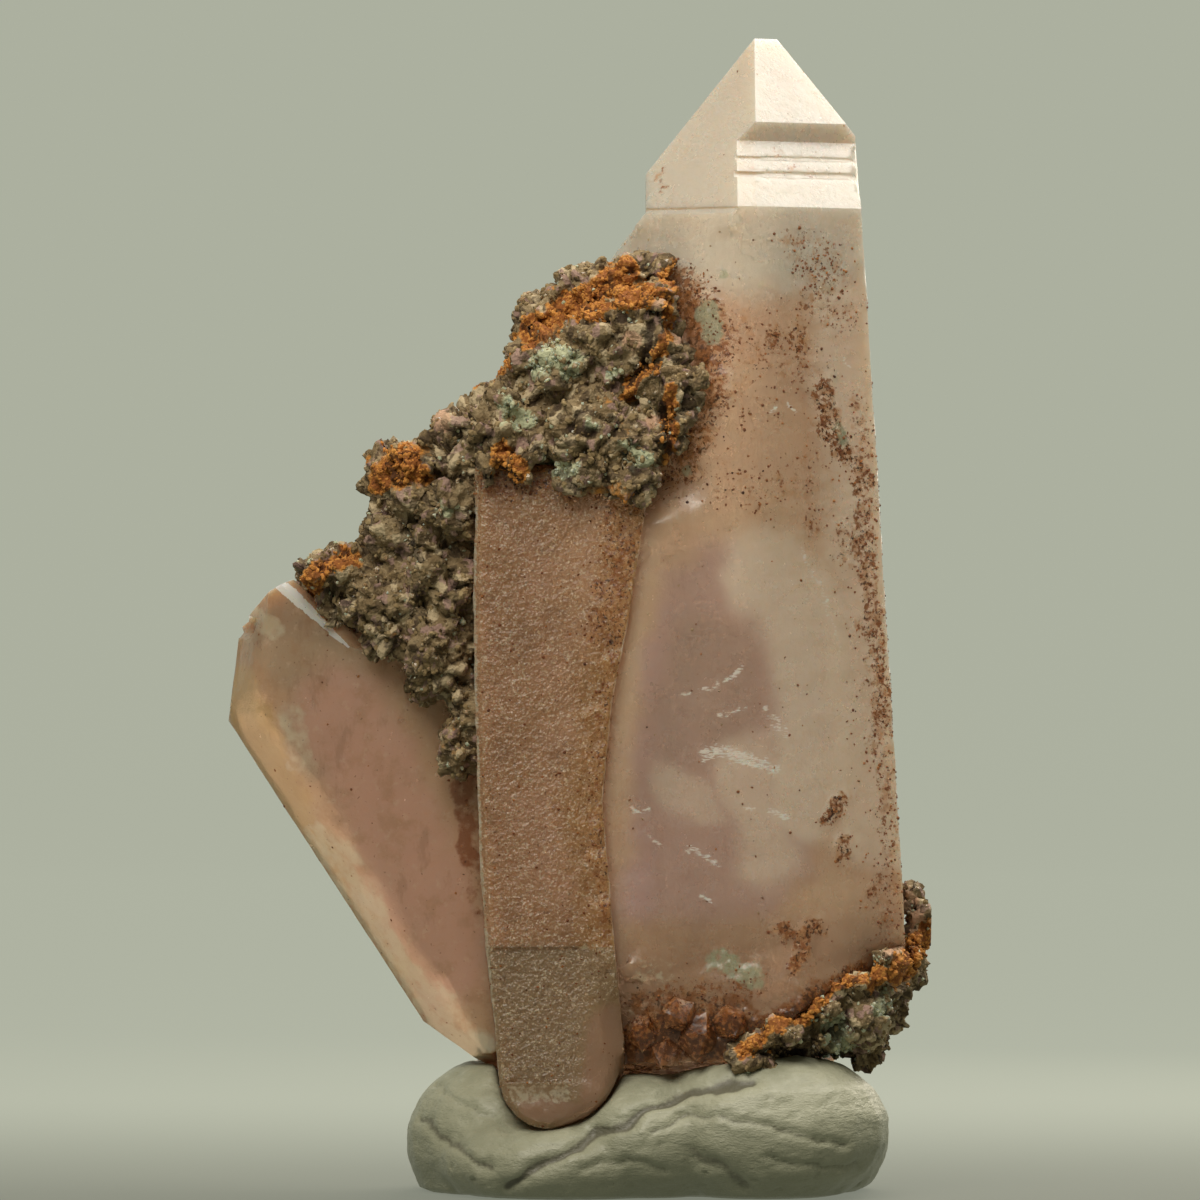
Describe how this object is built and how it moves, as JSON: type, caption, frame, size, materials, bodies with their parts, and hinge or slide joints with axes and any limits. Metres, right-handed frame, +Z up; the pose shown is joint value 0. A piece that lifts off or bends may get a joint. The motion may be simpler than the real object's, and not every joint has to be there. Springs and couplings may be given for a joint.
{
  "type": "skeletal amethyst crystal specimen",
  "caption": "Cluster of pale skeletal amethyst crystals with stepped faces and patches of host rock, stood upright in a kneaded putty pad.",
  "frame": {"origin": "under the middle of the object's box, on the flat underside of the putty pad", "axes": "+Z up along the main crystal to its point, front of the specimen towards -Y, +X to the right seen from the front"},
  "size_m": [0.0356, 0.0194, 0.0582],
  "materials": {
    "amethyst": "satin",
    "pale_amethyst": "satin",
    "host_rock": "rough",
    "lower_rock": "rough",
    "putty": "matte"
  },
  "bodies": {
    "root": {"main_crystal_pair": "amethyst", "leaning_crystal": "pale_amethyst", "upper_matrix": "host_rock", "lower_matrix": "lower_rock", "putty_pad": "putty"}
  },
  "joints": []
}
